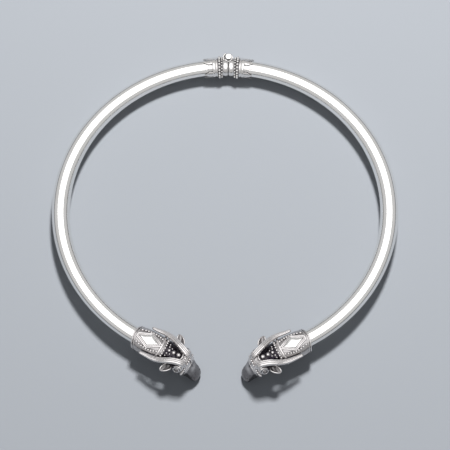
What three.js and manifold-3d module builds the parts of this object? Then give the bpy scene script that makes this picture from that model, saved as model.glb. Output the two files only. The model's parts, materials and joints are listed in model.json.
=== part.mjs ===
// A silver torc: a rigid oval neck ring of two polished tubes, hinged at the back and open at the
// front between two cast heads of horned goats. Millimetres, +Z up, hinge towards +Y.
// It lies on the lowest beads of its hinge collars and on the two chins.
import * as THREE from "three";
import { mergeVertices } from "three/addons/utils/BufferGeometryUtils.js";
import Module from "manifold-3d";

const wasm = await Module();
wasm.setup();

// Driving dimensions.
const RING = { halfWidth: 67.9, halfDepth: 62.8 }; // the tubes' centre line, an ellipse
const TUBE = { hingeRadius: 3.45, middleRadius: 3.72, headRadius: 3.5 };
const GAP = 0.3; // between pieces that touch
const PIN = { offset: 3.7, radius: 0.95, halfLength: 3.3, headRadius: 1.35, headHeight: 0.3 };
const KNUCKLE = { radius: 2.0, halfMiddle: 1.1, halfLength: 3.1 };
const COLLAR = { bodyRadius: 3.95, length: 6.4, beadRadius: 0.5, beadRing: 4.22, beads: 20 };
const LEAF = { count: 8, length: 4.3, halfWidth: 1.35, flare: 0.75 };
const HEAD = { rimX: 35.4, length: 31, socket: 5.5 };
const CHIN_DROP = 8.9; // the chins below the tubes' centre line
const COLLAR_DROP = COLLAR.beadRing + COLLAR.beadRadius; // the collars' beads below it
const FLAT = 0.15; // how much the resting beads and chins are worn flat

const SILVER = new THREE.MeshStandardMaterial({ color: 0xd9d7d6, roughness: 0.16, metalness: 1 });
const OXIDISED = new THREE.MeshStandardMaterial({ color: 0xa8a3a4, roughness: 0.34, metalness: 1 });

// ---- Solids ----

function solid(geometry) {
  const bare = geometry.clone();
  for (const name of ["normal", "uv"]) bare.deleteAttribute(name);
  const merged = mergeVertices(bare, 1e-4);
  const triVerts = new Uint32Array(merged.index.array);
  const vertProperties = new Float32Array(merged.attributes.position.array);
  const made = new wasm.Manifold(new wasm.Mesh({ numProp: 3, vertProperties, triVerts }));
  if (made.volume() > 0) return made;
  for (let i = 0; i < triVerts.length; i += 3) {
    [triVerts[i + 1], triVerts[i + 2]] = [triVerts[i + 2], triVerts[i + 1]];
  }
  return new wasm.Manifold(new wasm.Mesh({ numProp: 3, vertProperties, triVerts }));
}

function joined(solids) {
  return solids.reduce((all, one) => all.add(one));
}

function meshOf(name, body, material) {
  const { vertProperties, triVerts } = body.getMesh();
  const geometry = new THREE.BufferGeometry();
  geometry.setAttribute("position", new THREE.BufferAttribute(vertProperties, 3));
  geometry.setIndex(new THREE.BufferAttribute(triVerts, 1));
  geometry.computeVertexNormals();
  const mesh = new THREE.Mesh(geometry, material);
  mesh.name = name;
  return mesh;
}

// A closed body: the unit cylinder's points, each moved by place(share along, angle, reach 0 or 1).
function swept(around, along, place) {
  const geometry = new THREE.CylinderGeometry(1, 1, 1, around, along);
  const points = geometry.getAttribute("position");
  for (let i = 0; i < points.count; i++) {
    const x = points.getX(i);
    const z = points.getZ(i);
    const moved = place(points.getY(i) + 0.5, Math.atan2(z, x), Math.hypot(x, z));
    points.setXYZ(i, moved.x, moved.y, moved.z);
  }
  return solid(geometry);
}

// A cylinder between two heights of an upright axis.
function upright(x, y, radius, low, high, sides = 12) {
  const geometry = new THREE.CylinderGeometry(radius, radius, high - low, sides);
  geometry.rotateX(Math.PI / 2);
  geometry.translate(x, y, (low + high) / 2);
  return solid(geometry);
}

// A round bead.
function bead(place, radius) {
  const geometry = radius > 0.55
    ? new THREE.IcosahedronGeometry(radius, 0)
    : new THREE.OctahedronGeometry(radius, 0);
  geometry.translate(place.x, place.y, place.z);
  return solid(geometry);
}

// ---- The ring's centre line, in the ring's own plane ----

// Points by the ellipse's angle from the hinge, turning to the left side.
function ringPoint(angle) {
  return new THREE.Vector3(-RING.halfWidth * Math.sin(angle), RING.halfDepth * Math.cos(angle), 0);
}

function ringTangent(angle) {
  const x = -RING.halfWidth * Math.cos(angle);
  return new THREE.Vector3(x, -RING.halfDepth * Math.sin(angle), 0).normalize();
}

// Away from the ring's middle, square to the tube.
function ringOutward(angle) {
  const tangent = ringTangent(angle);
  return new THREE.Vector3(tangent.y, -tangent.x, 0);
}

function onTube(angle, round, radius) {
  return ringPoint(angle)
    .addScaledVector(ringOutward(angle), radius * Math.cos(round))
    .add(new THREE.Vector3(0, 0, radius * Math.sin(round)));
}

const RIM_ANGLE = Math.PI - Math.asin(HEAD.rimX / RING.halfWidth);
const HINGE_RATE = RING.halfWidth; // millimetres of tube for each radian of angle at the hinge
const HEAD_RATE = Math.hypot(
  RING.halfWidth * Math.cos(RIM_ANGLE),
  RING.halfDepth * Math.sin(RIM_ANGLE),
);

// ---- The tubes ----

function tubeRadius(angle) {
  const share = angle / RIM_ANGLE;
  const straight = THREE.MathUtils.lerp(TUBE.hingeRadius, TUBE.headRadius, share);
  const swell = TUBE.middleRadius - (TUBE.hingeRadius + TUBE.headRadius) / 2;
  return straight + swell * Math.sin(Math.PI * share) ** 2;
}

function tube() {
  const first = 2.45 / HINGE_RATE;
  const last = RIM_ANGLE + (HEAD.socket - GAP) / HEAD_RATE;
  return swept(12, 30, (share, round, reach) => {
    const angle = THREE.MathUtils.lerp(first, last, share);
    return onTube(angle, round, reach * tubeRadius(Math.min(angle, RIM_ANGLE)));
  });
}

// ---- The hinge collars ----

// A body turned about the tube's centre line near the hinge: its profile gives distances from the
// butt face and radii.
function turnedAtHinge(profile) {
  const last = profile.length - 1;
  return swept(14, last, (share, round, reach) => {
    const [distance, radius] = profile[Math.round(share * last)];
    return onTube(distance / HINGE_RATE, round, reach * radius);
  });
}

// A row of beads round the tube near the hinge, joined where they touch.
function beadedRing(at) {
  return swept(2 * COLLAR.beads, 3, (share, round, reach) => {
    const across = COLLAR.beadRadius * Math.cos(Math.PI * share);
    const height = Math.sin(Math.PI * Math.min(Math.max(share, 0.16), 0.84));
    const crest = 0.5 + 0.5 * Math.cos(COLLAR.beads * (round + Math.PI / 2));
    const radius = COLLAR.beadRing - 0.25 + COLLAR.beadRadius * (0.25 + 1.25 * crest * height);
    return onTube((at + across) / HINGE_RATE, round, reach * Math.min(radius, COLLAR_DROP));
  });
}

// A pointed leaf that lies along the tube and lifts off it at its tip.
function leaf(round) {
  const start = COLLAR.length - 0.5;
  return swept(5, 3, (share, turn, reach) => {
    const width = LEAF.halfWidth * Math.sin(Math.PI * (0.3 + 0.69 * share)) ** 0.9;
    const spread = (reach * width * Math.cos(turn)) / COLLAR.bodyRadius;
    const thick = 0.32 * reach * Math.sin(turn) * (1 - 0.6 * share);
    const radius = COLLAR.bodyRadius + 0.05 + LEAF.flare * share ** 2 + thick;
    return onTube((start + share * LEAF.length) / HINGE_RATE, round + spread, radius);
  });
}

function collar(knuckles, otherKnuckles) {
  const plain = COLLAR.bodyRadius;
  const parts = [
    turnedAtHinge([[GAP / 2, plain - 0.1], [2.35, plain - 0.1], [2.4, plain + 0.35],
      [2.95, plain + 0.35], [3.0, plain], [4.75, plain], [4.8, plain + 0.25], [6.1, plain + 0.25],
      [6.15, plain], [COLLAR.length, plain]]),
    beadedRing(4.0),
  ];
  for (let i = 0; i < LEAF.count; i++) {
    parts.push(leaf((2 * Math.PI * (i + 0.5)) / LEAF.count));
  }
  const bore = TUBE.hingeRadius + 0.22;
  const y = RING.halfDepth + PIN.offset;
  const clear = KNUCKLE.radius + GAP;
  const room = upright(0, y, clear, -KNUCKLE.halfLength - 3, KNUCKLE.halfLength + 3);
  const socket = turnedAtHinge([[2.2, bore], [4.2, bore], [6.6, bore], [9, bore + 0.2]]);
  let body = joined(parts).subtract(socket).subtract(room);
  for (const [low, high] of knuckles) {
    body = body.add(upright(0, y, KNUCKLE.radius, low, high)).add(knuckleWeb(low, high));
  }
  for (const [low, high] of otherKnuckles) {
    body = body.subtract(upright(0, y, clear, low - GAP, high + GAP));
  }
  return body.subtract(upright(0, y, PIN.radius + GAP, -6, 6));
}

// The strap that carries a knuckle, from the collar's side of the seam.
function knuckleWeb(low, high) {
  const length = 1.7;
  const geometry = new THREE.BoxGeometry(length, 1.5, high - low);
  geometry.translate(-GAP / 2 - length / 2, RING.halfDepth + PIN.offset - 1.25, (low + high) / 2);
  return solid(geometry);
}

function hingePin() {
  const y = RING.halfDepth + PIN.offset;
  const end = PIN.halfLength + PIN.headHeight;
  return joined([
    upright(0, y, PIN.radius, -end, end),
    upright(0, y, PIN.headRadius, PIN.halfLength + 0.01, end),
    upright(0, y, PIN.headRadius, -end, -PIN.halfLength - 0.01),
  ]);
}

// ---- The goat heads ----

// A head's own frame: u along it from the rim to the muzzle, v to its side, w up.
const HEAD_START = ringPoint(RIM_ANGLE);
const HEAD_ALONG = ringTangent(RIM_ANGLE);
const HEAD_SIDE = ringOutward(RIM_ANGLE);

function inHead(u, v, w) {
  return HEAD_START.clone()
    .addScaledVector(HEAD_ALONG, u)
    .addScaledVector(HEAD_SIDE, v)
    .add(new THREE.Vector3(0, 0, w));
}

// The side view and the plan of the sleeve, neck and skull, as smooth lines through few points.
const line = (...points) =>
  new THREE.SplineCurve(points.map(([u, value]) => new THREE.Vector2(u, value)));
const BACK_LINE = line([0, 4.7], [6, 4.9], [10.5, 5.2], [15, 4.5], [19, 5.2], [22, 6.5], [24.5, 5.6],
  [27.5, 2.6], [30, -1.6], [31, -4.6]);
const THROAT_LINE = line([0, -4.7], [6, -4.9], [11, -5.1], [15, -5.2], [19, -5.7], [22, -6.7],
  [25, -8.3], [27.6, -9.4], [29.8, -8.8], [31, -6.6]);
const SIDE_LINE = line([0, 4.7], [6, 4.95], [11, 5.1], [15, 4.8], [19, 4.9], [22, 4.9], [24.5, 3.6],
  [27.5, 2.9], [30, 2.5], [31, 1.2]);

// A spline's value at a place along the head; the splines run with u, so it is found by halving.
function valueAt(curve, u) {
  let low = 0;
  let high = 1;
  for (let step = 0; step < 24; step++) {
    const middle = (low + high) / 2;
    if (curve.getPoint(middle).x < u) low = middle;
    else high = middle;
  }
  return curve.getPoint(low).y;
}

// A point on the head's skin, or the given height proud of it.
function onHead(u, turn, proud = 0, reach = 1) {
  const top = valueAt(BACK_LINE, u);
  const bottom = valueAt(THROAT_LINE, u);
  const middle = (top + bottom) / 2;
  const v = (valueAt(SIDE_LINE, u) + proud) * Math.cos(turn) * reach;
  const w = middle + ((top - bottom) / 2 + proud) * Math.sin(turn) * reach;
  return inHead(u, v, w);
}

// A band that follows the head's skin all round, leaning back by "lean" from bottom to top.
function headBand(from, to, proud, lean = 0) {
  return swept(14, 1, (share, turn, reach) => {
    const u = THREE.MathUtils.lerp(from, to, share);
    const point = onHead(u, turn, proud, reach);
    return point.addScaledVector(HEAD_ALONG, -lean * Math.sin(turn) * reach);
  });
}

function skull() {
  return swept(14, 15, (share, turn, reach) => {
    const u = HEAD.length * share;
    const arch = 1.3 * Math.max(0, Math.sin(turn)) ** 2 * Math.max(0, 1 - share * 6) * reach;
    return onHead(u, turn, 0, reach).addScaledVector(HEAD_ALONG, -arch);
  });
}

// A long horn: it rises from the brow, sweeps back and out, and comes down to the sleeve's side.
function horn(side) {
  const path = new THREE.CatmullRomCurve3([
    [23.2, 2.5, 4.8], [21.6, 2.9, 6.6], [19, 3.5, 7.3], [16, 4.5, 7.0], [13, 5.4, 6.0],
    [10, 5.85, 4.9], [7, 5.8, 4.0], [4.2, 5.75, 3.4],
  ].map(([u, v, w]) => new THREE.Vector3(u, side * v, w)));
  return swept(7, 10, (share, turn, reach) => {
    const along = path.getTangent(share);
    const across = new THREE.Vector3(0, 0, 1).cross(along).normalize();
    const up = along.clone().cross(across);
    const radius = 0.5 + 0.95 * Math.cos((Math.PI / 2) * share ** 1.3);
    const rib = 1 + 0.1 * Math.cos(3 * (turn + Math.PI / 2));
    const point = path.getPoint(share)
      .addScaledVector(across, reach * radius * rib * Math.cos(turn))
      .addScaledVector(up, reach * radius * rib * Math.sin(turn));
    return inHead(point.x, point.y, point.z);
  });
}

// A leaf-shaped ear that stands out sideways behind the horn, its hollow side forward.
function ear(side) {
  return swept(6, 4, (share, turn, reach) => {
    const width = 1.35 * Math.sin(Math.PI * (0.28 + 0.7 * share)) ** 0.8;
    const along = reach * 0.42 * Math.sin(turn) - 1.6 * share + 0.9 * share ** 2;
    const cup = 0.3 * Math.cos(turn) ** 2 * reach * width;
    return inHead(
      18.4 + along + cup,
      side * (4.2 + 4.6 * share),
      2.6 + 0.9 * share + reach * width * Math.cos(turn),
    );
  });
}

function eye(side) {
  const geometry = new THREE.SphereGeometry(1, 8, 4);
  const points = geometry.getAttribute("position");
  for (let i = 0; i < points.count; i++) {
    const moved = inHead(
      21.9 + 1.25 * points.getX(i),
      side * (4.35 + 0.85 * points.getY(i)),
      2.5 + 0.8 * points.getZ(i),
    );
    points.setXYZ(i, moved.x, moved.y, moved.z);
  }
  return solid(geometry);
}

// The raised lozenge on the sleeve: two steps, each a four-sided block that narrows upwards.
function lozenge(halfLength, halfWidth, top) {
  const geometry = new THREE.CylinderGeometry(0.8, 1, 1, 4);
  const points = geometry.getAttribute("position");
  for (let i = 0; i < points.count; i++) {
    const moved = inHead(
      5.9 + halfLength * points.getZ(i),
      halfWidth * points.getX(i),
      3 + (top - 3) * (points.getY(i) + 0.5),
    );
    points.setXYZ(i, moved.x, moved.y, moved.z);
  }
  return solid(geometry);
}

function headBeads() {
  const beads = [[14.9, 0.62], [16.9, 0.8], [19.2, 0.95]].map(([u, radius]) =>
    bead(onHead(u, Math.PI / 2, 0.1), radius));
  for (let i = -3; i <= 3; i++) {
    beads.push(bead(onHead(12.6 - 0.05 * i * i, Math.PI / 2 + 0.3 * i, 0.1), 0.5));
  }
  for (const side of [-1, 1]) {
    for (let i = 0; i < 5; i++) {
      const share = i / 4;
      const spread = 0.35 + 0.65 * Math.sin(Math.PI * (0.12 + 0.7 * share));
      beads.push(bead(onHead(1.6 + 7.6 * share, Math.PI / 2 + side * spread, 0.05), 0.42));
    }
  }
  return beads;
}

function head() {
  const parts = [
    skull(),
    headBand(0, 0.8, 0.22),
    headBand(10.1, 11.1, 0.4),
    headBand(24.1, 25.0, 0.45, 0.9),
    lozenge(4.9, 3.0, 5.25),
    lozenge(3.9, 2.1, 5.75),
    ...headBeads(),
  ];
  for (const side of [-1, 1]) parts.push(horn(side), ear(side), eye(side));
  const socket = swept(12, 2, (share, round, reach) => {
    const angle = RIM_ANGLE + THREE.MathUtils.lerp(-3, HEAD.socket, share) / HEAD_RATE;
    return onTube(angle, round, reach * (TUBE.headRadius + GAP));
  });
  return joined(parts).subtract(socket);
}

// ---- The whole ----

// The ring leans a little: its back lies lower, on the collars' beads, than its front on the chins.
const CHIN_Y = inHead(27.6, 0, 0).y;
const LEAN = Math.asin((CHIN_DROP - COLLAR_DROP) / (RING.halfDepth - CHIN_Y));
const floorHeight = (y) => -COLLAR_DROP + FLAT - (RING.halfDepth - y) * Math.tan(LEAN);

// Everything under the surface that the ring lies on.
function underFloor() {
  const size = 200;
  const geometry = new THREE.BoxGeometry(size, size, 10);
  geometry.translate(0, 0, -5);
  geometry.rotateX(LEAN);
  geometry.translate(0, 0, floorHeight(0));
  return solid(geometry);
}

const ground = underFloor();
const middleKnuckle = [[-KNUCKLE.halfMiddle, KNUCKLE.halfMiddle]];
const outerKnuckles = [
  [-KNUCKLE.halfLength, -KNUCKLE.halfMiddle - GAP],
  [KNUCKLE.halfMiddle + GAP, KNUCKLE.halfLength],
];

function half(name, knuckles, otherKnuckles) {
  const group = new THREE.Group();
  group.add(
    meshOf(name + "_tube", tube(), SILVER),
    meshOf(name + "_head", head().subtract(ground), OXIDISED),
    meshOf(name + "_hinge_collar", collar(knuckles, otherKnuckles).subtract(ground), OXIDISED),
  );
  return group;
}

const left = half("left", outerKnuckles, middleKnuckle);
const right = half("right", middleKnuckle, outerKnuckles);
right.scale.x = -1;

const ring = new THREE.Group();
ring.add(left, right, meshOf("hinge_pin", hingePin(), SILVER));
ring.rotation.x = -LEAN;

const torc = new THREE.Group();
torc.add(ring);
torc.updateMatrixWorld(true);
const box = new THREE.Box3().setFromObject(torc, true);
torc.position.set(-(box.min.x + box.max.x) / 2, -(box.min.y + box.max.y) / 2, -box.min.z);

export default torc;
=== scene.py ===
"""A silver torc: two polished half tubes, hinged at the back, with horned goat heads in front."""

import json
import math

import bpy
import numpy as np
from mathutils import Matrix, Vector


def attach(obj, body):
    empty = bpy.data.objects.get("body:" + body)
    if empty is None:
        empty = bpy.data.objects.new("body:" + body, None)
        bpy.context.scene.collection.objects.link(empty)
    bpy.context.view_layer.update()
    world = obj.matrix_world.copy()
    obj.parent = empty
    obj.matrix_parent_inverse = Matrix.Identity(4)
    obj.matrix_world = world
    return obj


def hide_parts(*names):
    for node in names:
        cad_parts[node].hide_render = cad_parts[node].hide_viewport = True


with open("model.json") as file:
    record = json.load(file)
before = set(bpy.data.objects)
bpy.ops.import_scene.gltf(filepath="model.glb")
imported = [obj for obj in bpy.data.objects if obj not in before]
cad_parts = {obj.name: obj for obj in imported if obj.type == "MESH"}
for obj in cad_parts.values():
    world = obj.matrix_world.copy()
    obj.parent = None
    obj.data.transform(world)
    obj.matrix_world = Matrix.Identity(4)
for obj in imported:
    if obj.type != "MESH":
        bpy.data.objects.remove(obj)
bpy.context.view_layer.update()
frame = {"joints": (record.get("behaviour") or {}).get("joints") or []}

MM = 0.001
PI = math.pi
TOP = PI / 2  # the turn round a section that points up

# ---- The frame: everything is placed from the hinge, in millimetres of the ring's own plane ----

HINGE = frame["joints"][0]
HALF_WIDTH = 67.9  # of the tubes' centre line, an ellipse
HALF_DEPTH = 62.8
HINGE_RADIUS, MIDDLE_RADIUS, HEAD_RADIUS = 3.45, 3.72, 3.5
RIM_X = 34.3  # where a head's sleeve begins
HEAD_OFFSET = 0.4  # of the sleeve, outwards from the tube
HEAD_TURN = math.radians(2.1)  # inwards from the tube's own line
HEAD_ROLL = math.radians(4)  # its top leans in over the ring
PIN_OFFSET = 3.7  # the hinge pin, outwards from the centre line
PIN_Y = HALF_DEPTH + PIN_OFFSET

AXIS_Z = np.array(HINGE["axis"], float)
AXIS_X = np.array([1.0, 0.0, 0.0])
AXIS_Y = np.cross(AXIS_Z, AXIS_X)
ORIGIN = np.array(HINGE["pos_m"], float) / MM - PIN_Y * AXIS_Y


def to_row(points):
    """Points of the ring's plane, in millimetres, as metres of the row frame."""
    return (ORIGIN + points @ np.array([AXIS_X, AXIS_Y, AXIS_Z])) * MM


def point(x, y, z):
    return np.stack(np.broadcast_arrays(x, y, z), axis=-1).astype(float)


def smooth(*knots):
    """A smooth curve through a few knots, each a place and a value, as a function of the place."""
    places, values = np.array(knots, float).T
    slopes = np.gradient(values, places)

    def curve(at):
        at = np.clip(at, places[0], places[-1])
        i = np.clip(np.searchsorted(places, at, side="right") - 1, 0, len(places) - 2)
        step = places[i + 1] - places[i]
        t = (at - places[i]) / step
        rise = values[i + 1] - values[i]
        bend_in = slopes[i] * step - rise
        bend_out = -slopes[i + 1] * step + rise
        return values[i] + rise * t + t * (1 - t) * (bend_in * (1 - t) + bend_out * t)

    return curve


# ---- Meshes ----


class Shape:
    """Closed bodies gathered into one mesh, each with a share of black on its points: black oxide, and
    on the muzzle a painted dark reflection.
    """

    def __init__(self):
        self.points, self.faces, self.dark, self.count = [], [], [], 0

    def add(self, points, quads, triangles=None, dark=0.0):
        points = points.reshape(-1, 3)
        triangles = np.empty((0, 3), int) if triangles is None else triangles
        if signed_volume(points, quads, triangles) < 0:
            quads, triangles = quads[:, ::-1], triangles[:, ::-1]
        self.points.append(points)
        self.dark.append(np.broadcast_to(np.asarray(dark, float).reshape(-1), len(points)))
        self.faces += (quads + self.count).tolist() + (triangles + self.count).tolist()
        self.count += len(points)

    def swept(self, place, along, around, dark=0.0):
        """A closed body with rings of points; place(share, turn) gives them."""
        share = np.linspace(0, 1, along + 1)[:, None]
        turn = np.linspace(0, 2 * PI, around, endpoint=False)[None, :]
        rings = place(share, turn)
        ids = np.arange((along + 1) * around).reshape(along + 1, around)
        beside = np.roll(ids, -1, axis=1)
        quads = np.stack([ids[:-1], beside[:-1], beside[1:], ids[1:]], axis=-1).reshape(-1, 4)
        ends = np.stack([rings[0].mean(0), rings[-1].mean(0)])
        first = np.stack([beside[0], ids[0], np.full(around, ids.size)], axis=-1)
        last = np.stack([ids[-1], beside[-1], np.full(around, ids.size + 1)], axis=-1)
        shade = np.broadcast_to(np.asarray(dark(share, turn) if callable(dark) else dark, float),
                                (along + 1, around))
        shade = np.concatenate([shade.reshape(-1), shade[0, :1], shade[-1, :1]])
        points = np.concatenate([rings.reshape(-1, 3), ends])
        self.add(points, quads, np.concatenate([first, last]), shade)

    def bead(self, centre, radius, dark=0.0, squash=(1, 1, 1), axes=None):
        """A round bead, or an egg-shaped one along three given axes."""
        turned = np.eye(3) if axes is None else np.array(axes)
        size = radius * np.array(squash, float)

        def ball(share, turn):
            tilt = PI * (0.02 + 0.96 * share)
            unit = point(np.sin(tilt) * np.cos(turn), np.sin(tilt) * np.sin(turn), np.cos(tilt))
            return centre + (unit * size) @ turned

        self.swept(ball, 12, 18, dark)

    def wire(self, path, radius, around=10, closed=False, dark=0.0, flat=1.0):
        """A wire along a row of points; radius is one number or one for each point."""
        path = np.asarray(path, float)
        ahead = np.roll(path, -1, 0) - np.roll(path, 1, 0)
        if not closed:
            ahead[0], ahead[-1] = path[1] - path[0], path[-1] - path[-2]
        ahead /= np.linalg.norm(ahead, axis=1, keepdims=True)
        side = np.cross(ahead, [0.0, 0.0, 1.0])
        side /= np.maximum(np.linalg.norm(side, axis=1, keepdims=True), 1e-6)
        up = np.cross(side, ahead)
        turn = np.linspace(0, 2 * PI, around, endpoint=False)
        radius = np.broadcast_to(radius, len(path))[:, None, None]
        rings = path[:, None] + radius * (side[:, None] * np.cos(turn)[None, :, None]
                                          + flat * up[:, None] * np.sin(turn)[None, :, None])
        if closed:
            ids = np.arange(len(path) * around).reshape(len(path), around)
            next_ring, beside = np.roll(ids, -1, 0), np.roll(ids, -1, 1)
            corner = np.roll(next_ring, -1, 1)
            quads = np.stack([ids, beside, corner, next_ring], axis=-1).reshape(-1, 4)
            self.add(rings, quads, dark=dark)
        else:
            last = len(path) - 1
            self.swept(lambda share, turn: rings[np.rint(share[:, 0] * last).astype(int)],
                       last, around, dark)

    def made(self, name, material, body, slot, mirrored=False):
        """The finished object, riding on its body; mirrored makes the right half's copy."""
        points = np.concatenate(self.points) * ([-1, 1, 1] if mirrored else [1, 1, 1])
        faces = [f[::-1] for f in self.faces] if mirrored else self.faces
        placed = to_row(points)
        placed[:, 2] = np.maximum(placed[:, 2], 0.0)  # worn flat where the ring lies
        mesh = bpy.data.meshes.new(name)
        mesh.from_pydata(placed.tolist(), [], faces)
        mesh.polygons.foreach_set("use_smooth", np.ones(len(mesh.polygons), bool))
        # The black share as a point attribute: oxide, and on the muzzle a painted dark reflection with a
        # painted highlight.
        shade = mesh.attributes.new("oxide_and_painted_reflection", "FLOAT", "POINT")
        shade.data.foreach_set("value", np.concatenate(self.dark).astype(np.float32))
        mesh.materials.append(material)
        piece = bpy.data.objects.new(name, mesh)
        bpy.context.scene.collection.objects.link(piece)
        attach(piece, body)
        return piece


def signed_volume(points, quads, triangles):
    corners = np.concatenate([quads[:, [0, 1, 2]], quads[:, [0, 2, 3]], triangles])
    a, b, c = (points[corners[:, i]] for i in range(3))
    return np.einsum("ij,ij->i", a, np.cross(b, c)).sum()


# ---- Materials ----


def shader(name, roughness):
    """A metal whose nodes are filled in by its own function."""
    material = bpy.data.materials.new(name)
    material.use_nodes = True
    tree = material.node_tree
    surface = tree.nodes["Principled BSDF"]
    surface.inputs["Metallic"].default_value = 1.0
    surface.inputs["Roughness"].default_value = roughness
    return material, tree, surface


def node(tree, kind, **values):
    """A node with its inputs set by name."""
    made = tree.nodes.new(kind)
    for key, value in values.items():
        if key in made.inputs:
            made.inputs[key].default_value = value
        else:
            setattr(made, key, value)
    return made


def noise(tree, scale, detail=4.0, roughness=0.5):
    place = tree.nodes.new("ShaderNodeTexCoord")
    texture = node(tree, "ShaderNodeTexNoise", Scale=scale, Detail=detail, Roughness=roughness)
    tree.links.new(place.outputs["Object"], texture.inputs["Vector"])
    return texture.outputs["Fac"]


def ranged(tree, source, low, high, first, last):
    """The source mapped from low..high to first..last."""
    made = node(tree, "ShaderNodeMapRange")
    for index, value in enumerate((low, high, first, last), start=1):
        made.inputs[index].default_value = value
    tree.links.new(source, made.inputs["Value"])
    return made.outputs["Result"]


def mixed(tree, share, first, last):
    made = node(tree, "ShaderNodeMix", data_type="RGBA")
    tree.links.new(share, made.inputs["Factor"])
    for socket, value in (("A", first), ("B", last)):
        target = [s for s in made.inputs if s.name == socket and s.type == "RGBA"][0]
        if isinstance(value, tuple):
            target.default_value = value
        else:
            tree.links.new(value, target)
    return [s for s in made.outputs if s.type == "RGBA"][0]


def bumped(tree, surface, height, distance, strength):
    bump = node(tree, "ShaderNodeBump", Strength=strength, Distance=distance)
    tree.links.new(height, bump.inputs["Height"])
    tree.links.new(bump.outputs["Normal"], surface.inputs["Normal"])


def polished_silver():
    """Bright drawn tube: nearly a mirror, with faint hand-polishing waves and hairline scratches."""
    material, tree, surface = shader("polished_silver", 0.07)
    haze = noise(tree, 60.0, 3.0)
    tint = mixed(tree, ranged(tree, haze, 0.35, 0.7, 0.0, 1.0),
                 (0.93, 0.925, 0.91, 1), (0.88, 0.87, 0.845, 1))
    tree.links.new(tint, surface.inputs["Base Color"])
    wear = noise(tree, 220.0, 6.0, 0.65)
    tree.links.new(ranged(tree, wear, 0.35, 0.75, 0.05, 0.13), surface.inputs["Roughness"])
    bumped(tree, surface, noise(tree, 900.0, 2.0), 0.00001, 0.25)
    return material


def oxidised_silver(name, bright, black_from, black_to):
    """Cast silver, polished on its high parts and blackened in its hollows."""
    material, tree, surface = shader(name, 0.2)
    hollow = node(tree, "ShaderNodeAmbientOcclusion", Distance=0.0011, samples=8)
    deep = ranged(tree, hollow.outputs["AO"], black_from, black_to, 1.0, 0.0)
    # Reads the black share: oxide, and the muzzle's painted dark reflection and painted highlight.
    painted = node(tree, "ShaderNodeAttribute", attribute_name="oxide_and_painted_reflection")
    patchy = ranged(tree, noise(tree, 700.0, 5.0, 0.6), 0.3, 0.7, -0.09, 0.09)
    both = node(tree, "ShaderNodeMath", operation="MAXIMUM")
    tree.links.new(deep, both.inputs[0])
    tree.links.new(painted.outputs["Fac"], both.inputs[1])
    spread = node(tree, "ShaderNodeMath", operation="ADD", use_clamp=True)
    tree.links.new(both.outputs[0], spread.inputs[0])
    tree.links.new(patchy, spread.inputs[1])
    tone = mixed(tree, ranged(tree, noise(tree, 260.0, 3.0), 0.35, 0.7, 0.0, 1.0),
                 bright, tuple(0.86 * c for c in bright[:3]) + (1,))
    colour = mixed(tree, spread.outputs[0], tone, (0.022, 0.018, 0.026, 1))
    tree.links.new(colour, surface.inputs["Base Color"])
    tree.links.new(ranged(tree, spread.outputs[0], 0.0, 1.0, 0.15, 0.3), surface.inputs["Roughness"])
    bumped(tree, surface, noise(tree, 1300.0, 4.0, 0.6), 0.00003, 0.35)
    return material


TUBE_SILVER = polished_silver()
HEAD_SILVER = oxidised_silver("oxidised_silver", (0.86, 0.83, 0.82, 1), 0.28, 0.72)
COLLAR_SILVER = oxidised_silver("collar_silver", (0.9, 0.88, 0.86, 1), 0.22, 0.62)
MIRROR_SILVER = oxidised_silver("lozenge_silver", (0.93, 0.92, 0.9, 1), 0.1, 0.3)

# ---- The ring's centre line; angles run from the hinge to the left half's head ----


def ring_point(angle):
    return point(-HALF_WIDTH * np.sin(angle), HALF_DEPTH * np.cos(angle), 0 * angle)


def ring_tangent(angle):
    ahead = point(-HALF_WIDTH * np.cos(angle), -HALF_DEPTH * np.sin(angle), 0 * angle)
    return ahead / np.linalg.norm(ahead, axis=-1, keepdims=True)


def ring_outward(angle):
    ahead = ring_tangent(angle)
    return point(ahead[..., 1], -ahead[..., 0], 0 * ahead[..., 0])


def on_tube(angle, turn, radius):
    angle, turn, radius = np.broadcast_arrays(angle, turn, radius)
    outward = ring_outward(angle) * (radius * np.cos(turn))[..., None]
    return ring_point(angle) + outward + point(0, 0, radius * np.sin(turn))


def near_hinge(distance, turn, radius):
    """A point round the tube, at a distance along it from the butt face."""
    return on_tube(np.asarray(distance, float) / HALF_WIDTH, turn, radius)


RIM_ANGLE = PI - math.asin(RIM_X / HALF_WIDTH)
HEAD_RATE = math.hypot(HALF_WIDTH * math.cos(RIM_ANGLE), HALF_DEPTH * math.sin(RIM_ANGLE))


def tube_radius(angle):
    share = np.clip(angle / RIM_ANGLE, 0, 1)
    straight = HINGE_RADIUS + (HEAD_RADIUS - HINGE_RADIUS) * share
    swell = MIDDLE_RADIUS - (HINGE_RADIUS + HEAD_RADIUS) / 2
    return straight + swell * np.sin(PI * share) ** 2


TUBE_START = 2.45  # from the butt face, hidden in the collar
TUBE_OVERLAP = 5.2  # pushed into the head's sleeve


def tube():
    shape = Shape()
    first, last = TUBE_START / HALF_WIDTH, RIM_ANGLE + TUBE_OVERLAP / HEAD_RATE

    def place(share, turn):
        angle = first + (last - first) * share
        return on_tube(angle, turn, tube_radius(angle))

    shape.swept(place, 400, 96)
    return shape


# ---- The hinge collars ----

BARREL = 3.85  # radius of the butt end
GROUND = 3.95  # radius of the collar under its ornament
BEAD_COUNT = 20
# Distance from the butt face, ring radius and bead radius of the two rows.
MAIN_ROW, FINE_ROW = (3.8, 4.2, 0.54), (2.78, 4.1, 0.4)
LEAF_COUNT = 8
LEAF_ROOT, LEAF_LENGTH, LEAF_HALF_WIDTH = 6.6, 3.7, 1.45


def turned(shape, profile, dark=0.0):
    """A body turned about the tube's centre line: distances from the butt face, and radii."""
    distances, radii = np.array(profile, float).T
    last = len(profile) - 1

    def place(share, turn):
        i = np.rint(share * last).astype(int)
        return near_hinge(distances[i], turn, radii[i])

    shape.swept(place, last, 96, dark)


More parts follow.
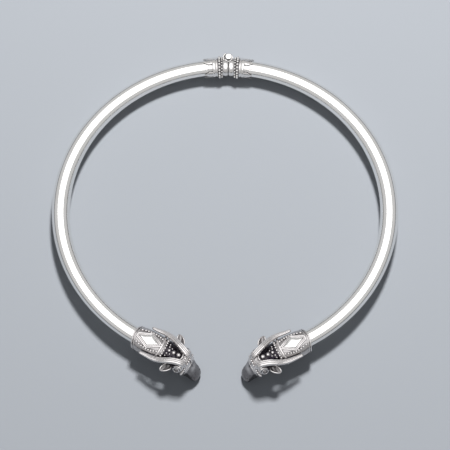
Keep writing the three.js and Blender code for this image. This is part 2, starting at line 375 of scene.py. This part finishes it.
def leaf(shape, turn):
    """A pointed leaf with a raised rim and rib, lying close to the tube."""

    def place(share, around):
        wide = LEAF_HALF_WIDTH * np.sin(PI * (0.3 + 0.69 * share)) ** 0.9
        across = np.cos(around)
        cupped = 0.22 * across**2 + 0.16 * np.exp(-((across / 0.16) ** 2))
        thick = (0.24 - 0.1 * share) * np.sin(around)
        radius = GROUND - 0.04 - 0.2 * share + cupped * (0.4 + share) * 0.5 + thick
        return near_hinge(LEAF_ROOT + share * LEAF_LENGTH, turn + wide * across / GROUND, radius)

    shape.swept(place, 28, 28)


def collar_ornament():
    """Two rows of beads, a grooved band and a crown of leaves."""
    shape = Shape()
    for i in range(BEAD_COUNT):
        turn = 2 * PI * i / BEAD_COUNT - TOP
        for (distance, ring, radius), shift in ((MAIN_ROW, 0), (FINE_ROW, PI / BEAD_COUNT)):
            shape.bead(near_hinge(distance, turn + shift, ring), radius)
    for i in range(LEAF_COUNT):
        leaf(shape, 2 * PI * (i + 0.5) / LEAF_COUNT)
    band = [(4.5, 3.9), (4.54, 4.1), (4.62, 4.18), (5.1, 4.2), (5.2, 4.08), (5.35, 4.08), (5.45, 4.22),
            (6.1, 4.24), (6.65, 4.2), (6.76, 4.1), (6.8, 3.9)]
    turned(shape, band)
    return shape


def collar_body():
    """The collar's plain body: the butt end's barrel and the blackened ground under the ornament."""
    shape = Shape()
    profile = [(0.15, 3.5), (0.15, 3.78), (0.22, BARREL), (1.2, BARREL + 0.03), (2.35, BARREL)]
    profile += [(2.4, GROUND), (7.0, GROUND), (7.05, 3.85), (7.05, 3.7)]
    turned(shape, profile, lambda share, turn: np.where(share > 0.62, 0.8, 0.1) + 0 * turn)
    return shape


def upright_ring(shape, low, high, inner, outer, start=0.0, end=2 * PI, centre=(0.0, 0.0)):
    """A strap rolled about the hinge pin, or about a centre beside it, between two angles."""
    steps, edge = 72, 0.06
    whole = abs(end - start - 2 * PI) < 1e-6
    angles = np.linspace(start, end, steps, endpoint=not whole)
    corners = [(inner, low + edge), (inner + edge, low), (outer - edge, low), (outer, low + edge),
               (outer, high - edge), (outer - edge, high), (inner + edge, high), (inner, high - edge)]
    radii, heights = np.array(corners, float).T
    rings = point(centre[0] + radii * np.cos(angles)[:, None],
                  PIN_Y + centre[1] + radii * np.sin(angles)[:, None], heights[None, :])
    if whole:
        ids = np.arange(rings[..., 0].size).reshape(rings.shape[:2])
        ahead, beside = np.roll(ids, -1, 0), np.roll(ids, -1, 1)
        quads = np.stack([ids, beside, np.roll(ahead, -1, 1), ahead], axis=-1).reshape(-1, 4)
        shape.add(rings, quads)
    else:
        shape.swept(lambda share, turn: rings[np.rint(share[:, 0] * (steps - 1)).astype(int)],
                    steps - 1, len(corners))


KNUCKLE_MIDDLE, KNUCKLE_END = 1.1, 3.1  # half heights of the middle knuckle and of all three
KNUCKLE_PLAY = 0.3
MIDDLE_RADII = (1.32, 1.95)
CURL_RADII, CURL_CENTRE = (1.62, 2.06), (-0.42, -0.3)
CURL_ANGLES = math.radians(112), math.radians(405)


def left_knuckles():
    """The upper and lower knuckles, each rolled into an open curl about the pin."""
    shape = Shape()
    inside = KNUCKLE_MIDDLE + KNUCKLE_PLAY
    for low, high in ((-KNUCKLE_END, -inside), (inside, KNUCKLE_END)):
        upright_ring(shape, low, high, *CURL_RADII, *CURL_ANGLES, CURL_CENTRE)
        strap(shape, low, high)
    return shape


def right_knuckle():
    """The middle knuckle, rolled right round the pin."""
    shape = Shape()
    upright_ring(shape, -KNUCKLE_MIDDLE, KNUCKLE_MIDDLE, *MIDDLE_RADII)
    strap(shape, -KNUCKLE_MIDDLE, KNUCKLE_MIDDLE)
    return shape


def strap(shape, low, high):
    """The flat part of a knuckle, from the roll down onto the collar's barrel."""
    corners = [(-0.15, -1.6), (-0.15, -2.5), (-1.7, -2.3), (-1.9, -1.0), (-1.6, -0.6), (-1.2, -0.9)]
    outline = np.array(corners)

    def place(share, turn):
        i = np.arange(len(outline))[None, :]
        height = low + 0.02 + (high - low - 0.04) * share
        return point(outline[i, 0], PIN_Y + outline[i, 1], height)

    shape.swept(place, 1, len(outline))


def pin():
    """The hinge rivet with a flat head at each end: heights and radii of its profile."""
    shape = Shape()
    profile = [(-3.62, 0.1), (-3.6, 1.1), (-3.5, 1.32), (-3.36, 1.37), (-3.32, 1.2), (-3.3, 0.95),
               (3.3, 0.95), (3.32, 1.2), (3.36, 1.37), (3.5, 1.32), (3.58, 1.1), (3.6, 0.1)]
    heights, radii = np.array(profile).T

    def place(share, turn):
        i = np.rint(share * (len(profile) - 1)).astype(int)
        return point(radii[i] * np.cos(turn), PIN_Y + radii[i] * np.sin(turn), heights[i] + 0 * turn)

    shape.swept(place, len(profile) - 1, 48)
    return shape


# ---- The goat heads: u runs along a head from its rim, v to its side, w up ----

RING_ALONG = ring_tangent(np.array(RIM_ANGLE))
RING_SIDE = ring_outward(np.array(RIM_ANGLE))
HEAD_START = ring_point(np.array(RIM_ANGLE)) + HEAD_OFFSET * RING_SIDE
HEAD_ALONG = RING_ALONG * math.cos(HEAD_TURN) - RING_SIDE * math.sin(HEAD_TURN)
LEVEL_SIDE = RING_SIDE * math.cos(HEAD_TURN) + RING_ALONG * math.sin(HEAD_TURN)
HEAD_SIDE = LEVEL_SIDE * math.cos(HEAD_ROLL) + np.array([0, 0, math.sin(HEAD_ROLL)])
HEAD_UP = np.array([0, 0, math.cos(HEAD_ROLL)]) - LEVEL_SIDE * math.sin(HEAD_ROLL)
HEAD_AXES = [HEAD_ALONG, HEAD_SIDE, HEAD_UP]


def drift(u):
    """How far the face turns outwards from the sleeve's line."""
    return 0.0045 * np.maximum(0, np.asarray(u, float) - 13) ** 2


def in_head(u, v, w):
    u, v, w = (np.asarray(a, float)[..., None] for a in (u, v + drift(u), w))
    return HEAD_START + HEAD_ALONG * u + HEAD_SIDE * v + HEAD_UP * w


# Sections along the head: the top's u and w, the underside's u and w, and the half width.
SECTIONS = np.array([
    [0.0, 4.65, 0.0, -4.65, 4.65],
    [1.2, 4.85, 1.2, -4.8, 5.05],
    [3.0, 5.0, 3.0, -4.95, 5.35],
    [7.0, 5.1, 7.0, -5.0, 5.4],
    [11.0, 5.3, 11.0, -5.1, 5.25],
    [14.2, 4.5, 14.0, -5.2, 5.0],
    [17.2, 4.6, 16.6, -5.4, 4.95],
    [19.8, 5.3, 18.4, -5.8, 5.0],
    [22.3, 5.9, 20.0, -6.3, 5.0],
    [24.2, 4.6, 21.4, -6.9, 4.4],
    [25.6, 2.3, 22.9, -7.6, 3.95],
    [26.8, 0.0, 24.5, -8.3, 3.5],
    [28.0, -2.4, 26.0, -8.9, 3.2],
    [28.9, -4.3, 27.5, -9.1, 2.8],
    [29.4, -6.0, 28.5, -8.6, 2.0],
    [29.4, -6.9, 29.1, -7.8, 0.8],
])
STATIONS = np.arange(len(SECTIONS))
TOP_U, TOP_W, LOW_U, LOW_W, BESIDE = (smooth(*zip(STATIONS, column)) for column in SECTIONS.T)
FINE = np.linspace(0, STATIONS[-1], 600)


def station(u):
    """The place along the sections whose top lies at u."""
    return np.interp(u, TOP_U(FINE), FINE)


def on_head(at, turn, proud=0.0):
    """A point on the head's skin, or proud of it; at counts the sections."""
    rise_u, rise_w = (TOP_U(at) - LOW_U(at)) / 2, (TOP_W(at) - LOW_W(at)) / 2
    height = np.hypot(rise_u, rise_w)
    up = np.sin(turn) * (1 + proud / height)
    arch = 1.2 * np.maximum(0, np.sin(turn)) ** 2 * np.maximum(0, 1 - at / 2)
    return in_head((TOP_U(at) + LOW_U(at)) / 2 + rise_u * up - arch, (BESIDE(at) + proud) * np.cos(turn),
                   (TOP_W(at) + LOW_W(at)) / 2 + rise_w * up)


def hump(at, turn, place, around, long, wide):
    """1 at a spot of the skin, falling smoothly to 0 about it."""
    off = (turn - around + PI) % (2 * PI) - PI
    return np.exp(-(((at - place) / long) ** 2) - (off / wide) ** 2)


# One side's carving: height, station, turn, and its spread along and round the head.
CARVED = [
    (0.5, 8.0, 0.7, 0.7, 0.22),  # brow
    (-0.55, 7.7, 0.3, 0.6, 0.22),  # eye hollow
    (0.4, 8.4, -0.4, 1.2, 0.4),  # cheek
    (-0.35, 10.4, 0.25, 0.9, 0.3),  # hollow of the face
    (0.3, 12.0, 0.8, 0.5, 0.25),  # wing of the nose
    (-0.5, 12.5, 0.72, 0.28, 0.14),  # nostril
]
MOUTH_TURN = -0.35


def carving(at, turn):
    """How far the skin stands proud: the carved spots, the mouth, the nose's ridge and the hair."""
    proud = 0 * at * turn
    for side in (1, -1):
        for height, place, around, long, wide in CARVED:
            proud += height * hump(at, turn, place, TOP + side * (around - TOP), long, wide)
        lips = TOP + side * (MOUTH_TURN - TOP)
        off = (turn - lips + PI) % (2 * PI) - PI
        proud -= 0.35 * np.exp(-((off / 0.07) ** 2)) * np.clip((at - 10.6) / 0.5, 0, 1)
    proud += 0.15 * np.exp(-(((turn - TOP) / 0.3) ** 2)) * np.clip((at - 9.3) / 0.6, 0, 1)
    hair = np.sin(26 * turn + 2.2 * np.sin(2 * at)) * np.clip((at - 4.8) / 0.4, 0, 1)
    proud += 0.045 * hair * np.clip((9.0 - at) / 0.5, 0, 1)
    return proud


def skin_oxide_and_painted_reflection(at, turn):
    """Black oxide in the hollow between the horns, grey on the sleeve; on the muzzle a painted dark
    reflection, lighter on its top as a painted highlight.
    """
    up = np.clip(np.sin(turn), 0, 1)
    recess = np.clip((at - 4.55) / 0.15, 0, 1) * np.clip((8.0 - at) / 0.4, 0, 1)
    sleeve = np.clip((4.6 - at) / 0.1, 0, 1)
    # Painted dark reflection over the muzzle, with a painted highlight on its top where the hump lowers
    # it.
    painted_muzzle_reflection = 0.78 * np.clip((at - 9.7) / 0.3, 0, 1) * (1 - 0.6 * hump(at, turn, 10.7, TOP, 0.6, 0.5))
    return 0.97 * recess * up**0.5 + 0.4 * sleeve + 0.6 * recess * (1 - up) + painted_muzzle_reflection + 0 * turn


def skin():
    shape = Shape()
    last = STATIONS[-1]
    shape.swept(lambda share, turn: on_head(share * last, turn, carving(share * last, turn)),
                360, 200, lambda share, turn: skin_oxide_and_painted_reflection(share * last, turn))
    return shape


HORN_PATH = np.array([
    [23.2, 2.1, 4.2], [22.2, 2.3, 5.8], [20.4, 2.9, 6.5], [18, 3.7, 6.4], [15.5, 4.7, 5.6],
    [13, 5.5, 4.6], [10, 5.9, 3.8], [7, 5.8, 3.2], [4.2, 5.8, 2.8]])


def horns():
    """Two long horns with ribs along them."""
    shape = Shape()
    share = np.linspace(0, 1, len(HORN_PATH))
    line = [smooth(*zip(share, column)) for column in HORN_PATH.T]
    for side in (-1, 1):
        def centre(at, side=side):
            return point(line[0](at), side * line[1](at), line[2](at))

        def place(at, turn, centre=centre):
            ahead = centre(np.minimum(at + 0.01, 1)) - centre(np.maximum(at - 0.01, 0))
            ahead /= np.linalg.norm(ahead, axis=-1, keepdims=True)
            across = np.cross([0.0, 0.0, 1.0], ahead)
            across /= np.linalg.norm(across, axis=-1, keepdims=True)
            up = np.cross(ahead, across)
            radius = 0.6 + 0.62 * np.cos(TOP * at**1.6)
            radius = radius * (1 - 0.45 * np.clip((at - 0.975) / 0.025, 0, 1) ** 2)
            ribs = 0.86 + 0.3 * np.abs(np.cos(3.5 * (turn - TOP))) ** 0.8 * (1 - 0.5 * at)
            reach = (radius * ribs)[..., None]
            moved = centre(at) + across * reach * np.cos(turn)[..., None]
            moved = moved + up * reach * np.sin(turn)[..., None]
            return in_head(moved[..., 0], moved[..., 1], moved[..., 2])

        shape.swept(place, 150, 64)
    return shape


EAR_LENGTH, EAR_HALF_WIDTH, EAR_HALF_THICK = 4.2, 1.75, 0.32


def ear_oxide(share, turn):
    """Dark inside the cup, bright along its rim."""
    return 0.6 * (np.abs(np.cos(turn)) < 0.85) + 0 * share


def ears():
    """Leaf-shaped ears that stand out sideways under the horns, their hollow side up."""
    shape = Shape()
    for side in (-1, 1):
        def cup(share, across, side=side):
            tip = (1 - np.clip(share, 0, 1) ** 3.5) ** 0.5
            root = 0.55 + 0.45 * np.clip(2.2 * share, 0, 1)
            wide = EAR_HALF_WIDTH * tip * root
            hollow = 0.75 * np.abs(across) ** 2 * wide
            return in_head(17.4 - 1.7 * share**2 + wide * across, side * (4.2 + EAR_LENGTH * share),
                           1.4 + 1.0 * share + hollow)

        def place(share, turn, cup=cup):
            return cup(share, np.cos(turn)) + HEAD_UP * (EAR_HALF_THICK * np.sin(turn))[..., None]

        shape.swept(place, 36, 40, ear_oxide)
        lap = np.linspace(-1, 1, 60)
        shape.wire(cup(1 - lap**2, np.sign(lap)), 0.3)
    return shape


EYE_AT, EYE_TURN = 7.7, 0.3
EYEBALL = (1.1, 0.75, 0.8)  # its half sizes along, across and up the head


def eyes():
    """Almond eyes inside raised lids, under heavy brows."""
    shape = Shape()
    ring = np.linspace(0, 2 * PI, 60, endpoint=False)
    almond = np.sin(ring) * (0.55 + 0.45 * np.sin(ring) ** 2)
    brow = np.linspace(-1.3, 1.3, 30)
    for side in (1, -1):
        middle = TOP + side * (EYE_TURN - TOP)
        shape.bead(on_head(np.array(EYE_AT), np.array(middle), -0.1), 1.0, 0.75, EYEBALL, HEAD_AXES)
        lids = on_head(EYE_AT + 0.62 * np.cos(ring), middle + side * 0.27 * almond, 0.28)
        shape.wire(lids, 0.27, closed=True)
        raised = middle + side * (0.18 + 0.26 * np.cos(brow))
        arc = on_head(EYE_AT + 0.15 + 0.75 * np.sin(brow), raised, 0.42)
        shape.wire(arc, 0.3 + 0.16 * np.cos(brow))
    return shape


def sleeve_place(u, side, proud):
    """A point on the sleeve by its place along it and its distance to the side of the top line."""
    at = station(u)
    return on_head(at, TOP - side / BESIDE(at), proud)


LOZENGE_U, LOZENGE_LONG, LOZENGE_WIDE = 5.85, 4.3, 2.3


def rhombus(scale, count=160):
    """Places along the sleeve and to its side, round a lozenge outline."""
    lap = np.linspace(0, 4, count, endpoint=False)
    corner = np.array([[1, 0], [0, 1], [-1, 0], [0, -1], [1, 0]], float)
    i = lap.astype(int)
    spot = corner[i] + (corner[i + 1] - corner[i]) * (lap - i)[:, None]
    return LOZENGE_U + scale * LOZENGE_LONG * spot[:, 0], scale * LOZENGE_WIDE * spot[:, 1]


def lozenge():
    """The mirror-bright lozenge, nearly flat, with a worn edge."""
    shape = Shape()
    profile = np.array([[1.0, -0.6], [1.0, 0.35], [0.985, 0.45], [0.94, 0.5], [0.5, 0.56], [0.02, 0.6]])
    around = 160

    def place(share, turn):
        i = np.rint(share[:, 0] * (len(profile) - 1)).astype(int)
        rings = []
        for scale, proud in profile[i]:
            u, side = rhombus(scale, around)
            rings.append(in_head(u, side, 4.85 + proud - 0.06 * np.abs(side)))
        return np.stack(rings)

    shape.swept(place, len(profile) - 1, around)
    return shape


SIDE_BEADS, SIDE_BEAD = 9, 0.56
CROWN_BEADS = ((15.0, 0.66), (17.1, 0.84), (19.4, 0.92), (22.5, 0.62))  # u and radius, on the top line
GRANULES = ((14.5, 0.28, 0.4), (15.8, 0.24, 0.34), (14.3, 0.5, 0.36))  # u, turn from the top, radius
NOSE_BEADS, NOSE_BEAD = 15, 0.52


def sleeve_ornament(shape, turn):
    """The lozenge's frame, the rim's wires and the rows of beads beside the lozenge."""
    for scale, radius in ((1.15, 0.3), (1.42, 0.4)):
        u, side = rhombus(scale)
        shape.wire(sleeve_place(np.maximum(u, 1.1), side, 0.16), radius, closed=True)
    for at, proud, radius in ((0.1, 0.12, 0.32), (0.75, 0.08, 0.2)):
        shape.wire(on_head(0 * turn + at, turn, proud), radius, closed=True)
    for i in range(SIDE_BEADS):
        u = 1.6 + 8.9 * i / (SIDE_BEADS - 1)
        out = 3.75 * (1 - ((u - 6.2) / 9.0) ** 2)
        for side in (-out, out):
            shape.bead(sleeve_place(u, side, 0.14), SIDE_BEAD)


def neck_ornament(shape, turn):
    """The crescent band, the row of beads behind it, and the beads between the horns."""
    bow = 11.6 - 1.0 * np.cos(turn) ** 2
    shape.wire(on_head(station(bow), turn, 0.2), 0.5, around=14, closed=True, flat=0.8)
    for i in range(-6, 7):
        place = TOP + 0.235 * i
        shape.bead(on_head(station(13.05 - 0.8 * math.cos(place) ** 2), place, 0.16), 0.53)
    for u, radius in CROWN_BEADS:
        shape.bead(on_head(station(u), TOP, 0.18), radius)
    for side in (-1, 1):
        for u, aside, radius in GRANULES:
            shape.bead(on_head(station(u), TOP + side * aside, 0.1), radius)
    loop = np.linspace(-1.75, 1.75, 50)
    shape.wire(sleeve_place(19.7 + 1.5 * np.cos(loop), 2.0 * np.sin(loop), 0.25), 0.3)


def noseband(shape, turn):
    """A row of beads over the nose, from cheek to cheek, and the wire in front of it."""
    for i in range(NOSE_BEADS):
        place = -0.15 + (PI + 0.3) * i / (NOSE_BEADS - 1)
        shape.bead(on_head(station(24.3) + 0.1 * math.cos(2 * place), place, 0.2), NOSE_BEAD)
    shape.wire(on_head(0 * turn + station(25.2), turn, 0.02), 0.16, closed=True)


def ornament():
    """Wires, beads and bands on the sleeve, between the horns and across the nose."""
    shape = Shape()
    turn = np.linspace(0, 2 * PI, 160, endpoint=False)
    sleeve_ornament(shape, turn)
    neck_ornament(shape, turn)
    noseband(shape, turn)
    return shape


# ---- The pieces of each half ----


def dress_half(name, mirrored, knuckles):
    body = name + "_half"
    long_tube = tube().made(name + "_polished_tube", TUBE_SILVER, body, "polished_silver", mirrored)
    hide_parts(name + "_tube")
    head = skin().made(name + "_head_skin", HEAD_SILVER, body, "oxidised_silver", mirrored)
    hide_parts(name + "_head")
    for part, build, material in (
        ("horns", horns, HEAD_SILVER),
        ("ears", ears, HEAD_SILVER),
        ("eyes", eyes, HEAD_SILVER),
        ("ornament", ornament, HEAD_SILVER),
        ("lozenge", lozenge, MIRROR_SILVER),
    ):
        build().made(f"{name}_head_{part}", material, body, "oxidised_silver", mirrored)
    sleeve = collar_body().made(name + "_collar_body", COLLAR_SILVER, body, "collar_silver", mirrored)
    cut_for_knuckles(sleeve)
    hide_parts(name + "_hinge_collar")
    collar_ornament().made(name + "_collar_ornament", COLLAR_SILVER, body, "collar_silver", mirrored)
    knuckles().made(name + "_knuckles", COLLAR_SILVER, body, "collar_silver", mirrored)


def cut_for_knuckles(sleeve):
    """Makes room in a collar's barrel for the rolled knuckles."""
    cutter = Shape()

    def place(share, turn):
        return point(2.3 * np.cos(turn), PIN_Y + 2.3 * np.sin(turn), 12 * share - 6 + 0 * turn)

    cutter.swept(place, 1, 64)
    mesh = bpy.data.meshes.new("cutter")
    mesh.from_pydata(to_row(np.concatenate(cutter.points)).tolist(), [], cutter.faces)
    tool = bpy.data.objects.new("cutter", mesh)
    bpy.context.scene.collection.objects.link(tool)
    cut = sleeve.modifiers.new("room", "BOOLEAN")
    cut.operation, cut.solver, cut.object = "DIFFERENCE", "EXACT", tool
    bpy.context.view_layer.objects.active = sleeve
    with bpy.context.temp_override(object=sleeve, active_object=sleeve):
        bpy.ops.object.modifier_apply(modifier=cut.name)
    bpy.data.objects.remove(tool)


dress_half("left", False, left_knuckles)
dress_half("right", True, right_knuckle)
rivet = pin().made("hinge_rivet", TUBE_SILVER, "left_half", "polished_silver")
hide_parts("hinge_pin")

# ---- Floor, light and camera ----


def make_floor():
    size = 3.0
    corners = [(-size, -size, 0), (size, -size, 0), (size, size, 0), (-size, size, 0)]
    mesh = bpy.data.meshes.new("floor")
    mesh.from_pydata(corners, [], [(0, 1, 2, 3)])
    material = bpy.data.materials.new("floor_paper")
    material.use_nodes = True
    surface = material.node_tree.nodes["Principled BSDF"]
    surface.inputs["Base Color"].default_value = (0.38, 0.4, 0.43, 1)
    surface.inputs["Roughness"].default_value = 0.9
    mesh.materials.append(material)
    floor = bpy.data.objects.new("floor", mesh)
    bpy.context.scene.collection.objects.link(floor)


def area_light(name, place, size, watts):
    """A square lamp aimed at the ring's middle that doesn't show in the metal."""
    data = bpy.data.lights.new(name, "AREA")
    data.shape, data.size, data.energy = "SQUARE", size, watts
    lamp = bpy.data.objects.new(name, data)
    lamp.location = place
    aim = -Vector(place)
    lamp.rotation_euler = aim.to_track_quat("-Z", "Y").to_euler()
    lamp.visible_glossy = False
    bpy.context.scene.collection.objects.link(lamp)


def make_studio():
    """A light tent: a bright ceiling panel, a thin dark gap round it, paler walls, dim horizon."""
    world = bpy.data.worlds.new("studio")
    bpy.context.scene.world = world
    world.use_nodes = True
    tree = world.node_tree
    tree.nodes.clear()
    place = tree.nodes.new("ShaderNodeTexCoord")
    split = tree.nodes.new("ShaderNodeSeparateXYZ")
    tree.links.new(place.outputs["Generated"], split.inputs[0])
    rise = node(tree, "ShaderNodeMath", operation="ARCSINE")
    tree.links.new(split.outputs["Z"], rise.inputs[0])
    ramp = tree.nodes.new("ShaderNodeValToRGB")
    tree.links.new(ranged(tree, rise.outputs[0], 0, TOP, 0.0, 1.0), ramp.inputs[0])
    stops = [(0.0, 0.06), (0.05, 0.1), (0.1, 0.55), (0.42, 0.62), (0.5, 0.62), (0.51, 0.12),
             (0.53, 0.12), (0.54, 1.5), (1.0, 1.5)]
    ramp.color_ramp.elements[0].position = 0.0
    ramp.color_ramp.elements[1].position = 1.0
    for position, _ in stops[1:-1]:
        ramp.color_ramp.elements.new(position)
    for stop, (position, value) in zip(ramp.color_ramp.elements, stops):
        stop.position, stop.color = position, (value, value, value * 1.01, 1)
    seen = tree.nodes.new("ShaderNodeLightPath")
    shine = node(tree, "ShaderNodeBackground", Strength=1.0)
    tree.links.new(ramp.outputs["Color"], shine.inputs["Color"])
    fill = node(tree, "ShaderNodeBackground", Color=(0.9, 0.95, 1.0, 1), Strength=0.17)
    either = tree.nodes.new("ShaderNodeMixShader")
    tree.links.new(seen.outputs["Is Glossy Ray"], either.inputs[0])
    tree.links.new(fill.outputs[0], either.inputs[1])
    tree.links.new(shine.outputs[0], either.inputs[2])
    out = tree.nodes.new("ShaderNodeOutputWorld")
    tree.links.new(either.outputs[0], out.inputs["Surface"])
    area_light("key", (0.1, 0.62, 1.0), 0.16, 19)


def make_camera():
    """Seen from steeply above the heads, a little from the right."""
    azimuth, elevation, roll = (math.radians(a) for a in (6.47, 75.5, -5.27))
    distance, zoom = 1.0, 5.385
    target = Vector((0.00021, -0.00537, 0.0066))
    back = Vector((math.sin(azimuth) * math.cos(elevation), -math.cos(azimuth) * math.cos(elevation),
                   math.sin(elevation)))
    data = bpy.data.cameras.new("camera")
    data.sensor_width = 36.0
    data.lens = zoom * data.sensor_width
    data.clip_start = 0.01
    camera = bpy.data.objects.new("camera", data)
    camera.location = target + back * distance
    turned_view = (-back).to_track_quat("-Z", "Y").to_matrix().to_4x4()
    camera.rotation_euler = turned_view.to_euler()
    camera.rotation_euler.rotate_axis("Z", roll)
    bpy.context.scene.collection.objects.link(camera)
    bpy.context.scene.camera = camera


make_floor()
make_studio()
make_camera()
bpy.context.scene.view_settings.view_transform = "Standard"
